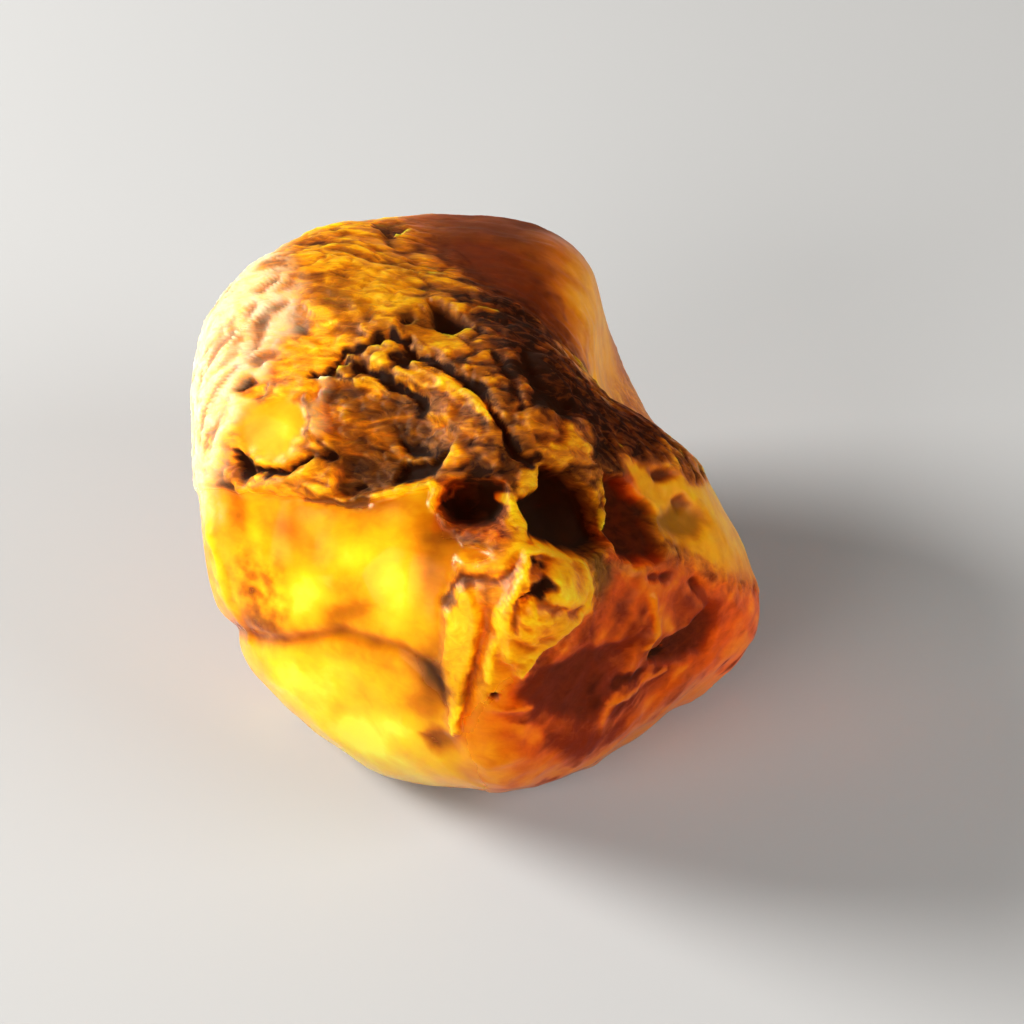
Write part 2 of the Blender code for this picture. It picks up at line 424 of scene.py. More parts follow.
# %% Marks with an outline
# each: outline on the chart, softness of its edge, height, tone
PATCHES = {
    "honey_crown": ([(-11, 17.2), (-8.6, 19.4), (-5.4, 18.2), (-5.2, 16.0), (-8.0, 14.9)], 1.3, 0.0, 0.16),
    "honey_side": (
        [(-15.2, 13.0), (-12.4, 14.6), (-9.8, 13.4), (-11.6, 11.0), (-12.9, 9.8), (-13.0, 8.0),
         (-15.0, 8.8), (-16.2, 9.8)],
        0.8, 0.1, 0.15,
    ),
    "rusty_crown": ([(-13.2, 16.6), (-11.0, 17.4), (-9.0, 16.0), (-10.8, 14.6)], 0.7, 0.0, 0.44),
    "honey_lump_left": ([(3.6, 6.4), (5.2, 7.4), (6.6, 6.8), (6.4, 5.2), (4.6, 4.8)], 0.5, 0.5, 0.22),
    "honey_lump_right": ([(7.2, 6.4), (9.4, 6.6), (10.6, 5.0), (9.2, 3.4), (7.2, 4.0)], 0.5, 0.5, 0.18),
    "honey_lump_low": ([(5.2, 3.9), (6.8, 4.4), (8.2, 3.2), (7.0, 2.6)], 0.4, 0.3, 0.30),
    "pale_lump": ([(3.2, 0.4), (3.9, 2.2), (5.4, 2.8), (5.3, 1.4), (4.3, 0.2)], 0.3, 0.3, 0.20),
    "eye_lip": ([(-2.6, -1.2), (-2.2, -2.5), (-0.1, -3.6), (1.8, -3.4), (2.6, -1.6)], 0.5, 0.2, 0.40),
    "eye": (
        [(-2.8, -0.5), (-2.3, 0.7), (-1.1, 1.4), (0.7, 1.4), (2.4, 1.2), (2.6, -0.1), (2.3, -1.8),
         (0.7, -2.2), (-1.3, -1.9)],
        0.28, -2.3, 0.90,
    ),
    "eye_corner": ([(0.8, 1.2), (2.3, 1.1), (2.5, -0.1), (2.2, -1.6), (0.9, -0.6)], 0.5, -0.5, 1.0),
    "great_hollow": (
        [(3.5, -0.1), (5.1, 0.8), (5.4, 2.4), (7.6, 2.4), (9.1, 0.6), (10.0, -1.3), (10.6, -3.2),
         (9.6, -4.4), (8.3, -4.5), (6.2, -3.7), (4.6, -3.0), (4.1, -1.4)],
        0.35, -2.6, 1.0,
    ),
    "side_hollow": (
        [(10.4, 1.8), (11.9, 1.9), (12.8, 0.1), (13.9, -0.3), (14.7, -1.1), (14.4, -2.3), (15.0, -3.3),
         (15.1, -4.8), (13.2, -5.2), (11.6, -4.3), (10.8, -2.8), (10.8, -1.0)],
        0.35, -1.3, 0.90,
    ),
    "olive_dip": (
        [(14.8, -1.4), (16.2, -0.5), (18.4, -0.6), (19.4, -1.9), (18.5, -3.0), (16.8, -3.2), (15.1, -2.4)],
        0.6, -0.4, 0.46,
    ),
    "olive_spot": ([(16.2, -0.1), (17.0, 0.4), (18.1, -0.4), (17.1, -1.1)], 0.3, -0.3, 0.64),
    "brown_hem": ([(9.4, -4.6), (11.0, -5.2), (11.4, -6.4), (10.6, -8.2), (9.6, -7.4)], 0.5, -0.2, 0.60),
    "knob": (
        [(4.0, -5.4), (4.1, -3.5), (5.0, -3.1), (6.6, -4.3), (8.3, -4.5), (9.3, -6.7), (9.2, -8.1),
         (8.2, -9.3), (6.6, -10.6), (4.9, -12.2), (4.0, -13.3), (2.6, -12.0), (2.3, -9.3), (2.6, -7.6)],
        0.35, 0.75, 0.24,
    ),
    "arch": ([(4.4, -6.0), (4.6, -4.3), (5.3, -3.9), (6.2, -4.8), (5.4, -6.0)], 0.25, -0.6, 0.50),
    "knob_dome": (
        [(5.8, -6.5), (6.7, -5.2), (8.3, -5.3), (8.9, -6.8), (8.3, -7.9), (6.6, -7.5)],
        0.5, 0.45, 0.14,
    ),
    "panel": (
        [(-1.8, -7.9), (-1.4, -6.9), (0.0, -7.0), (0.5, -9.4), (0.1, -13.4), (-0.6, -15.7), (-1.1, -18.2),
         (-1.7, -17.5), (-2.2, -14.2), (-2.2, -11.0)],
        0.3, 0.3, 0.13,
    ),
    "orange_panel": (
        [(0.9, -11.0), (3.0, -11.8), (3.6, -13.1), (2.3, -14.8), (0.6, -16.2), (0.4, -14.0)],
        0.4, 0.1, 0.28,
    ),
    "smudge": ([(-4.3, -18.8), (-2.5, -18.2), (-0.7, -18.9), (-1.0, -20.4), (-3.3, -20.2)], 0.6, -0.1, 0.66),
    "apron_tip": ([(2.6, -10.8), (5.6, -10.6), (4.4, -12.6), (3.6, -13.4), (2.0, -13.0)], 0.8, 0.0, 0.30),
    "maroon_band": (
        [(3.2, -15.3), (4.5, -13.8), (6.2, -12.6), (9.3, -11.6), (11.7, -11.3), (13.4, -10.4),
         (12.4, -12.4), (10.2, -13.4), (9.4, -15.2), (10.0, -17.2), (6.4, -17.6)],
        0.6, -0.25, 0.74,
    ),
    "maroon_foot": ([(5.2, -19.2), (8.6, -18.4), (12.0, -18.6), (8.7, -21.2)], 0.9, 0.0, 0.68),
    "blotch": (
        [(14.2, -12.8), (15.4, -11.3), (17.6, -10.3), (19.3, -8.8), (20.2, -10.4), (19.2, -12.6),
         (17.3, -13.4), (14.6, -13.5)],
        0.45, -0.5, 0.85,
    ),
    "bark_shade": ([(-10.9, 4.1), (-8.4, 3.6), (-6.4, 2.0), (-7.2, 0.6), (-10.6, 0.5)], 0.6, -0.2, 0.62),
    "bark_pit": (
        [(-6.3, 1.2), (-5.8, 2.8), (-3.7, 3.2), (-2.0, 3.6), (-3.1, 1.8), (-4.8, 1.0)],
        0.35, -0.8, 0.95,
    ),
    "bark_pit_top": ([(-6.1, 4.9), (-4.4, 4.7), (-3.1, 3.7), (-4.9, 3.5)], 0.3, -0.5, 0.92),
    "crown_pit": ([(-3.8, 16.4), (-2.6, 16.0), (-0.2, 14.2), (-1.9, 13.5), (-3.3, 14.2)], 0.35, -1.1, 1.0),
    "chip": ([(-19.1, 8.8), (-18.1, 9.9), (-16.6, 9.7), (-16.9, 8.5), (-18.2, 8.1)], 0.25, -0.8, 0.78),
    "far_shade": ([(-9.2, 24.0), (-7.6, 25.0), (-5.8, 23.4), (-7.3, 22.0)], 0.8, -0.4, 0.76),
}
patch_masks = {name: patch(outline, soft) for name, (outline, soft, *_) in PATCHES.items()}
DEEP = -1.0  # an outline that goes down this far is a hollow, with a smooth floor
hollow = np.max([patch_masks[name] for name in PATCHES if PATCHES[name][2] < DEEP], axis=0)
crust *= 1 - SMOOTHED["hollow"] * hollow
print("hollows:", ", ".join(name for name in PATCHES if PATCHES[name][2] < DEEP))

# %% [markdown]
# Relief comes in layers, from large to small, as it did on the real stone. First the wear: amber
# chips in shallow scoops, like glass. A scoop is the squared distance to the nearest of many seed
# points, so it is a bowl in the middle and a soft crest where two bowls meet.

# %% Scoops and worn waves
SCOOP, SCOOP_DEPTH = 8.5, 0.55  # millimetres across a large scoop, and its depth
FACE_SCOOP, FACE_SCOOP_DEPTH = 5.0, 0.70  # the same for the scoops of the red face
SWELL, SWELL_HEIGHT = 7.0, 0.28  # long waves
WAVE, WAVE_HEIGHT = 2.6, 0.16  # short waves, highest on the crust
EVERYWHERE, ON_CRUST, ON_RED = 0.35, 0.65, 0.3  # their share all over, and what two zones add to it
MEAN_BOWL = 0.35  # taken off, so that scoops do not swell the stone
WINDOW_DROP = 0.35  # the clear window lies this far below the crust

bowl, _ = plates(warped(places, size=7.0, amount=1.5, seed=50), SCOOP, seed=51)
face_bowl, _ = plates(warped(places, size=4.0, amount=1.6, seed=60), FACE_SCOOP, seed=61)
relief = SCOOP_DEPTH * (np.minimum(bowl, 1) ** 2 - MEAN_BOWL)
relief += FACE_SCOOP_DEPTH * red * (np.minimum(face_bowl, 1) ** 2 - MEAN_BOWL)
relief += SWELL_HEIGHT * layered(places, SWELL, seed=2, layers=2)
relief += WAVE_HEIGHT * (EVERYWHERE + ON_CRUST * crust + ON_RED * red) * layered(places, WAVE, seed=4)
relief -= WINDOW_DROP * window
print("worn relief:", relief.min().round(2), "to", relief.max().round(2), "mm")

# %% [markdown]
# The crust wrinkled while the resin still crept, so its folds run one way. Noise is made to run by
# squeezing its points along that way before it is read: a bump then reaches further along it. The
# crests of the folds are sharp and the valleys wide, which `ridges` gives. Between them the crust has
# cracked into flakes, and the borders between plates are their grooves.

# %% Folds and flakes of the crust
CREEP = (0.87, -0.50)  # the way the resin crept, across and up the chart
FOLD, FOLD_HEIGHT = 2.9, 0.34
FINE_FOLD, FINE_FOLD_HEIGHT = 1.15, 0.14
FLAKE, FLAKE_GROOVE, FLAKE_GAP = 1.9, 0.18, 0.20  # size and depth, and the groove's width in cells
CRUMBLE = (0.95, -0.3)  # the way the crumbs of the bark print lie
CRUMB, CRUMB_HEIGHT, CRUMB_GROOVE, CRUMB_GAP = 1.0, 0.20, 0.12, 0.3
BARK_DROP = 0.67  # the bark print lies this far below the crust


def run_along(at, across, up, squeeze):
    """Points moved together along a direction d of the chart: p - squeeze (p . d) d."""
    direction = unit(across * chart_right + up * chart_up)
    return at - squeeze * (at @ direction)[:, None] * direction


crept = warped(run_along(places, *CREEP, squeeze=0.62), size=4.5, amount=1.7, seed=70)
folds = ridges(crept, FOLD, seed=71)
fine_folds = ridges(crept, FINE_FOLD, seed=75, layers=2)
_, flake_gap = plates(warped(crept, size=1.4, amount=0.5, seed=80), FLAKE, seed=81)
flake_groove = 1 - smoothstep(flake_gap, 0, FLAKE_GAP)
crumbly = run_along(places, *CRUMBLE, squeeze=0.4)
crumbs, crumb_gap = plates(warped(crumbly, size=1.0, amount=0.4, seed=85), CRUMB, seed=86)
crumb_groove = 1 - smoothstep(crumb_gap, 0, CRUMB_GAP)
folded = FOLD_HEIGHT * folds + FINE_FOLD_HEIGHT * fine_folds - FLAKE_GROOVE * flake_groove
relief += crust * (1 - bark) * folded
relief += bark * (CRUMB_HEIGHT * (1 - crumbs) - CRUMB_GROOVE * crumb_groove - BARK_DROP)
print("folds reach", (crust * folded).max().round(2), "mm")

# %% [markdown]
# The rind, the curtain and the knob are folded too, each along a way of its own. The rind's folds run
# up over the corner. The curtain hangs in threads, so its noise is squeezed almost flat from top to
# bottom. On the knob the folds curl round a point, so they are made from two numbers, the distance from
# that point and the bearing round it.

# %% Folds of the rind, the curtain and the knob
RISE = (0.50, 0.87)  # the way the rind's folds run
RIND_FOLD, RIND_FOLD_HEIGHT = 1.9, 0.30
RIND_WAVE, RIND_WAVE_HEIGHT = 2.2, 0.15
HANG = (-0.1, 1.0)  # the way the curtain hangs
THREAD, THREAD_HEIGHT = 1.3, 0.15
CURL = np.array([5.0, -7.2])  # the middle of the knob's curl on the chart
KNOB_FOLD, KNOB_FOLD_HEIGHT = 0.75, 0.22
CURL_REACH = 1.3  # how often a knob fold breaks on its way round

rising = warped(run_along(places, *RISE, squeeze=0.66), size=3.0, amount=1.5, seed=90)
rind_folds = ridges(rising, RIND_FOLD, seed=91)
rind_waves = layered(places, RIND_WAVE, seed=95, layers=2)
relief += rind * (RIND_FOLD_HEIGHT * rind_folds + RIND_WAVE_HEIGHT * rind_waves)
threads = layered(run_along(places, *HANG, squeeze=0.85), THREAD, seed=230)
relief += curtain * THREAD_HEIGHT * threads
from_curl = soft_chart - CURL
bend = np.arctan2(from_curl[:, 0], from_curl[:, 1])
curled = np.stack([np.hypot(*from_curl.T) / KNOB_FOLD, CURL_REACH * bend, 0 * bend], axis=1)
curl_folds = ridges(curled, size=1.0, seed=240, layers=2)
relief += patch_masks["knob"] * KNOB_FOLD_HEIGHT * curl_folds
print("knob folds:", curl_folds.min().round(2), "to", curl_folds.max().round(2))

# %% [markdown]
# Amber has one colour that changes with depth: a thin or milky place is lemon yellow, a thicker one is
# honey, then orange, then deep red, and a hollow that no light leaves is almost black. So the whole
# stone can be coloured with one number, its tone, that later runs along a ramp of those colours. Each
# zone gets a tone of its own, and the patterns of its relief change it: crests are thin and pale,
# grooves are dark.

# %% Patterns that change the tone
FLICKER = (0.8, 0.6)  # the way the flames of the red face run

flickering = warped(run_along(places, *FLICKER, squeeze=0.5), size=4.5, amount=2.0, seed=220)
wandering = warped(places, size=2.0, amount=0.8, seed=214)
patterns = {
    "folds": folds,
    "fine folds": fine_folds,
    "flake groove": flake_groove,
    "mottling": smoothstep(layered(crept, size=1.9, seed=206), low=-0.35, high=0.45),
    "crumbs": crumbs,
    "rind folds": rind_folds,
    "threads": threads,
    "flames": ridges(flickering, size=4.6, seed=221, layers=4),
    "scoops": face_bowl,
    "broad": layered(places, size=5.0, seed=200),
    "middling": layered(places, size=2.8, seed=211),
    "fine": layered(places, size=1.3, seed=213),
    "seams": ridges(wandering, size=3.4, seed=215),
    "to the right": smoothstep(chart[:, 0], low=-10, high=3),
    "low down": smoothstep(-chart[:, 1], low=9, high=20),
    "off the brow": smoothstep(-chart[:, 1], low=2, high=8),
}
print(len(patterns), "patterns")

# %% Tone of each zone, from 0 for lemon to 1 for black
# each: zone, its tone, and how much each pattern adds to it; the first is laid on everywhere
# the crust's tone rises towards the right: painted shade on the side away from the light
CRUST_CHANGES = {
    "to the right": 0.23, "broad": 0.12, "folds": -0.34, "fine folds": -0.10, "flake groove": 0.24,
}
TONES = [
    (1, 0.41, CRUST_CHANGES),
    (bark, 0.52, {"mottling": -0.32, "crumbs": 0.16}),
    (rind, 0.47, {"rind folds": -0.42, "middling": 0.12}),
    (small_window, 0.17, {"middling": 0.07, "seams": 0.08}),
    # the window grows paler low down: painted light, brightest at its foot where light comes out
    (window, 0.28, {"low down": -0.10, "broad": 0.12, "middling": 0.10, "fine": 0.05}),
    # the red face's deep red is partly the resin's own and partly painted light, the red of light that has
    # come a long way through the stone
    (red, 0.84, {"flames": -0.40, "middling": 0.12, "scoops": -0.18, "fine": 0.06}),
    (curtain, 0.29, {"threads": 0.34}),
    # right rim: partly painted light, the glow of light coming out through the thin edge
    (right_rim, 0.22, {"off the brow": 0.16, "middling": 0.12, "threads": 0.12}),
    (worn, 0.34, {"broad": 0.20, "middling": 0.14}),
    (far_lobe, 0.76, {"broad": 0.10, "middling": 0.05}),
    # the lobe's glow is painted light
    (lobe_glow, 0.29, {"middling": 0.16}),
]


tone = np.zeros(len(ways))


def paint(mask, new_tone):
    """Brings the tone inside a mask to a new value: tone + (new - tone) x mask."""
    tone[:] += (new_tone - tone) * mask


for zone, new_tone, changes in TONES:
    paint(zone, new_tone + sum(amount * patterns[name] for name, amount in changes.items()))
print("tone:", tone.min().round(2), "to", tone.max().round(2))

# %% [markdown]
# The outlined marks are laid on now, each with its height and its tone.

# %% Laying on the outlined marks
# painted highlight and shade: the crests of the knob's folds are made paler and the grooves darker
KNOB_FOLD_TONE = 0.24  # how much a crest of the knob's folds is paler than a groove
FOOT = (0.8, -21.5, 3.4, 4.6, 10)  # across, up, half width, half height and turn of the red face's foot
FOOT_TONE, FOOT_MOTTLE = 0.34, 0.14

for name, (outline, soft, height, new_tone) in PATCHES.items():
    relief += height * patch_masks[name]
    paint(patch_masks[name], new_tone)
# painted highlight on the knob's crests, painted shade in its grooves
tone -= KNOB_FOLD_TONE * patch_masks["knob"] * (1 - hollow) * (curl_folds - curl_folds.mean())
foot = spot(*FOOT, on=torn_chart)
paint(foot, FOOT_TONE + FOOT_MOTTLE * patterns["middling"])
print(len(PATCHES), "outlined marks laid on")

# %% [markdown]
# Cracks, seams, veins and the hems of folds are lines: a path on the chart, with a width, a height and
# a tone. A crack is a line with a depth and a dark tone, and a vein stands up and is bright. The width
# changes along the line, because a drawn line of one width never looks like a crack.

# %% Marks along a path
# each: path on the chart, width, height, tone
STROKES = {
    # waist and waist_fold are painted shade: the dark band of the shaded saddle between the crust and the
    # far lobe
    "waist": (
        [(-1, 23), (0.9, 20.4), (2.9, 17.1), (4.6, 12.5), (6.4, 9.4), (9.0, 7.8), (13, 5.6)],
        2.7, -0.2, 0.79,
    ),
    "waist_fold": ([(4.4, 11.8), (5.4, 8.8), (7.4, 7.6)], 0.8, -0.8, 0.95),
    "bark_seam": (
        [(-12.9, 10.0), (-11.6, 10.3), (-10.4, 12.0), (-9.2, 12.2), (-7.8, 12.7)],
        0.28, -0.5, 0.92,
    ),
    "flake_seam": (
        [(-11.4, 10.2), (-11.1, 11.0), (-9.9, 11.3), (-8.8, 10.7), (-9.9, 9.8), (-11.2, 10.0)],
        0.20, -0.3, 0.80,
    ),
    "long_crack": ([(-9.0, 10.8), (-6.8, 9.5), (-5.4, 8.6), (-3.8, 7.7)], 0.55, -1.0, 1.0),
    "nostril": (
        [(-7.8, 12.8), (-6.7, 13.3), (-5.6, 12.9), (-5.0, 11.6), (-5.4, 10.8), (-6.3, 11.3)],
        0.42, -0.8, 0.95,
    ),
    "right_crack": (
        [(-4.9, 11.6), (-3.2, 11.3), (-1.5, 10.0), (0.6, 8.2), (1.6, 6.7), (2.6, 5.4), (3.5, 3.7),
         (4.8, 2.9)],
        0.38, -0.9, 1.0,
    ),
    "bright_lens": ([(-2.2, 9.1), (-1.0, 8.6), (0.6, 7.3), (1.4, 6.2)], 0.50, 0.45, 0.08),
    "long_seam": ([(1.8, 11.6), (3.4, 9.4), (3.6, 7.4)], 0.45, -0.4, 0.80),
    "window_crack": (
        [(-18.9, 3.7), (-18.1, 2.2), (-16.8, 2.4), (-14.9, 2.3), (-13.0, 3.2)],
        0.30, -0.8, 0.97,
    ),
    "fibres": ([(-19.8, 2.1), (-18.6, 0.9), (-16.2, 1.1), (-13.8, 1.7), (-12.2, 2.9)], 0.42, 0.40, 0.20),
    "small_window_edge": ([(-13.2, 7.9), (-12.7, 6.2), (-13.2, 4.8)], 0.40, 0.1, 0.44),
    "bark_lip": ([(-11.9, 9.6), (-12.4, 7.4), (-12.1, 5.2)], 0.35, 0.5, 0.24),
    "window_lip": ([(-7.6, 0.2), (-5.4, 1.0), (-3.6, 1.6), (-2.9, 0.6), (-3.0, -0.8)], 0.40, 0.35, 0.14),
    "window_shade": ([(-13.6, 0.1), (-11.2, -0.2), (-8.6, -0.3)], 0.35, -0.2, 0.60),
    "eye_light": ([(-2.2, -0.2), (-1.8, 0.5), (-0.8, 1.0)], 0.22, 0.2, 0.62),
    "right_of_eye": (
        [(2.7, 0.0), (3.4, -1.2), (3.9, -2.6), (3.4, -4.0), (2.2, -4.8), (0.6, -5.3), (-0.6, -4.9)],
        0.60, 0.38, 0.16,
    ),
    # curtain_brow is a painted shadow: the dark line under the crest of the curtain's brow
    "curtain_brow": (
        [(-1.9, -8.4), (-1.7, -7.0), (-0.8, -6.2), (0.6, -6.2), (2.0, -6.2), (3.4, -5.5)],
        0.32, -0.35, 0.58,
    ),
    "valley": ([(1.4, -8.6), (0.8, -11.5), (0.0, -14.9), (-0.8, -17.8)], 0.55, -0.45, 0.36),
    "valley_line": ([(0.7, -11.8), (-0.1, -15.0), (-0.9, -18.2)], 0.18, -0.25, 0.50),
    "bright_hem": (
        [(3.9, -5.4), (3.2, -6.6), (2.4, -8.0), (2.1, -9.6), (1.9, -11.4), (1.2, -13.8)],
        0.30, 0.45, 0.08,
    ),
    "foot_thread": ([(-1.5, -15.6), (-1.3, -16.8), (-1.7, -18.4)], 0.32, 0.3, 0.02),
    "arch_rim": ([(4.0, -5.8), (4.2, -4.0), (5.0, -3.4), (6.2, -4.1), (7.4, -4.5)], 0.26, 0.40, 0.10),
    "knob_mouth": ([(3.8, -7.9), (4.6, -7.2), (5.5, -6.4)], 0.50, -1.2, 1.0),
    "mouth_tail": ([(3.6, -8.0), (3.2, -8.8), (3.2, -9.9)], 0.24, -0.3, 0.60),
    "knob_groove": ([(5.2, -7.9), (6.6, -8.4), (8.3, -8.6)], 0.40, -0.45, 0.52),
    "knob_rim": (
        [(8.5, -4.9), (9.3, -6.8), (9.0, -8.3), (8.0, -9.4), (6.4, -10.7), (4.8, -12.2), (4.0, -13.3)],
        0.34, 0.40, 0.14,
    ),
    "face_vein": ([(14.5, -7.7), (14.5, -9.3), (14.5, -10.6), (13.9, -11.8)], 0.24, 0.25, 0.34),
    "face_vein_low": ([(10.6, -16.2), (12.4, -15.8), (13.8, -15.0), (15.8, -14.1)], 0.30, 0.15, 0.38),
    "face_dark_low": ([(11.6, -14.9), (13.6, -14.2)], 0.45, -0.2, 0.82),
    "rim_drip": ([(18.1, -6.8), (18.6, -8.0), (19.6, -8.9)], 0.42, -0.2, 0.70),
    "face_streak": ([(1.4, -16.4), (3.2, -16.6), (4.8, -16.2)], 0.30, 0.2, 0.34),
    "amber_foot": ([(0.2, -18.2), (2.6, -17.8), (5.0, -18.8)], 1.0, 0.0, 0.34),
    "red_rim": ([(22.4, -12.0), (19.6, -15.6), (15.6, -18.6), (10.6, -21.2), (4.4, -22.6)], 0.8, 0.0, 0.34),
    # rind_gleam is a painted highlight along the rind
    "rind_gleam": ([(-16.6, 10.6), (-18.4, 8.0), (-19.9, 5.6), (-21.0, 3.0)], 0.45, 0.35, 0.10),
    "left_edge": ([(-21.8, 1.4), (-21.9, -3.0), (-20.9, -7.4), (-19.4, -12)], 0.32, 0.3, 0.20),
}
THINNEST, WIDEST = 0.5, 1.5  # of a line's own width
LINE_SWELL = 2.2  # millimetres from one thick place of a line to the next
FLAT_TOP = 4  # the power that gives a mark an even middle and a short edge; a bell has 2

wide = smoothstep(layered(places, LINE_SWELL, seed=97, layers=2), low=-0.4, high=0.5)
line_width = THINNEST + (WIDEST - THINNEST) * wide
for path, width, height, new_tone in STROKES.values():
    relief += height * stroke(path, width)
    off_line = distance_to_path(path, torn_chart) / (width * line_width)
    paint(np.exp(-(off_line**FLAT_TOP)), new_tone)
print(len(STROKES), "lines laid on")

# %% [markdown]
# The last marks are small round pits, and the soft blobs of light and shade inside the clear windows.
# Both are spots, hard ones with a depth, and soft ones that only change the tone.

# %% Round marks
# each: across, up, half width, half height, turn, height, tone
PITS = {
    "crown_dot": (-5.4, 14.9, 0.65, 0.6, 0, -0.5, 0.80),
    "little_hole": (-11.4, 3.5, 0.55, 0.5, 0, -0.8, 0.95),
    "bark_ring": (-10.4, 6.9, 0.55, 0.6, 0, 0.3, 0.30),
    "brow_dot": (15.4, 2.0, 0.9, 0.6, -15, -0.5, 0.80),
    "curtain_hole": (1.8, -15.3, 0.45, 0.30, 12, -0.7, 1.0),
    "arch_hole": (4.6, -4.7, 0.25, 0.3, 0, -0.3, 0.9),
    "arch_hole_low": (5.3, -5.1, 0.3, 0.25, 0, -0.3, 0.9),
    "face_dot": (14.5, -6.3, 0.5, 0.4, 0, -0.3, 0.78),
    "face_dot_right": (15.5, -6.3, 0.55, 0.45, 0, -0.3, 0.80),
    "rim_dot": (18.1, -7.0, 0.5, 0.6, 20, -0.3, 0.80),
    "blotch_core": (14.9, -12.6, 0.8, 0.6, 15, -0.5, 1.0),
    "window_crack_pit": (-18.3, 2.9, 0.5, 0.8, 20, -0.4, 0.97),
    "bark_chip": (-9.0, 1.0, 0.5, 0.3, 0, -0.3, 0.85),
    "rind_fleck": (-18.2, 12.2, 0.6, 0.5, 40, -0.1, 0.55),
}
for *ellipse, height, new_tone in PITS.values():
    mask = spot(*ellipse, power=FLAT_TOP)
    relief += height * mask
    paint(mask, new_tone)

# each: across, up, half width, half height, turn, change of tone
GLOWS = [
    (-13.8, -8.0, 2.4, 1.5, 20, -0.26), (-6.0, -7.4, 2.0, 2.4, 10, -0.28), (-9.6, -4.6, 1.8, 1.4, 0, -0.18),
    (-15.8, -15.0, 2.2, 2.0, -40, -0.22), (-12.2, -15.6, 1.6, 2.4, 20, -0.20),
    (-9.4, -19.8, 2.6, 1.3, -28, -0.36),
    (-6.4, -18.4, 2.0, 0.9, -20, -0.22), (-17.6, -3.6, 1.6, 2.6, 5, -0.14),
    (-10.2, -13.6, 1.8, 1.0, 0, -0.14),
    (-6.5, -13.2, 4.0, 1.2, -12, 0.14), (-2.9, -14.4, 1.2, 2.8, -10, 0.28), (-2.8, -5.0, 1.8, 3.6, 5, 0.16),
    (-9.5, -8.9, 2.6, 0.7, 20, 0.14), (-18.8, -10.6, 2.0, 1.2, 0, 0.16), (-8.0, -0.8, 7.0, 0.7, 2, 0.10),
    (-11.4, -17.6, 0.9, 1.8, 10, 0.14), (-1.2, -3.4, 2.8, 1.2, -20, 0.14), (-19.6, 0.0, 0.8, 5.0, 8, 0.14),
    (-15.0, -2.4, 1.4, 1.0, 0, 0.08), (-5.0, -16.4, 1.6, 0.8, -20, 0.12), (-14.6, 5.2, 0.9, 1.1, 20, -0.10),
]
GLOW_STRENGTH = 1.15
GRAINY = (-17.6, -8.0, 2.6, 4.2, 10)  # across, up, half width, half height and turn of a grainy place
GRAINY_TONE, GRAINY_MOTTLE = 0.10, 0.36

for *ellipse, change in GLOWS:
    tone += GLOW_STRENGTH * change * spot(*ellipse, on=soft_chart)
tone += spot(*GRAINY, power=FLAT_TOP) * (GRAINY_TONE + GRAINY_MOTTLE * patterns["fine"])
print(len(PITS), "pits and", len(GLOWS), "soft spots laid on")

# %% [markdown]
# One line is softer than the cracks: the crease that crosses the clear window, where one run of resin
# stopped and the next began. It dents the skin, and most where it meets the stone's left edge.

# %% The crease across the window
CREASE_WIDTH, CREASE_DEPTH, CREASE_TONE = 0.6, 0.30, 0.22
EDGE_WIDTH, EDGE_DEPTH = 1.4, 0.5
CREASE = [
    (-22, -10.8), (-18.3, -11.8), (-13.9, -11.3), (-10.5, -10.9), (-5.6, -12.0), (-3.2, -13.4),
    (-1.8, -15.7),
]
crease = stroke(CREASE, CREASE_WIDTH, on=soft_chart)
relief -= CREASE_DEPTH * crease + EDGE_DEPTH * stroke(CREASE[:2], EDGE_WIDTH, on=soft_chart)
tone += CREASE_TONE * crease
print("relief runs from", relief.min().round(2), "to", relief.max().round(2), "mm")

# %% [markdown]
# The relief is added to the form, held inside the measured box, and cut flat at the floor once more.
# Then the ball of directions becomes a mesh: place = heart + way x distance.

# %% The mesh of the stone
BOX_SLACK = 0.25  # how far relief may stand out of the measured box, in millimetres

reach = down_to_floor(ways, form + relief)
points = HEART + ways * reach[:, None]
box_low, box_high = [np.array(corner) / MM for corner in cad_box]
points = np.clip(points, box_low - [BOX_SLACK, BOX_SLACK, 0], box_high + BOX_SLACK)


def mesh_piece(name, corners, faces, more_faces=()):
    """A smooth mesh object from corners in millimetres and a whole array of faces."""
    mesh = bpy.data.meshes.new(name)
    mesh.from_pydata((corners * MM).tolist(), [], faces.tolist() + list(more_faces))
    mesh.update()
    mesh.shade_smooth()
    piece = bpy.data.objects.new(name, mesh)
    bpy.context.scene.collection.objects.link(piece)
    return piece


amber_body = mesh_piece("amber_body", points, quads)
print("amber_body:", 2 * len(quads), "triangles,", np.ptp(points, axis=0).round(1), "mm")

# %% [markdown]
# Behind the clear windows hang milky clouds: resin that was full of tiny bubbles when it set. They
# catch the light and glow lemon yellow through the honey around them. Each is a lumpy ball a few
# millimetres under the skin. It is really there, not painted on, so it shifts against the skin when
# the stone is turned. Dark flecks of bark are sealed in the same way.

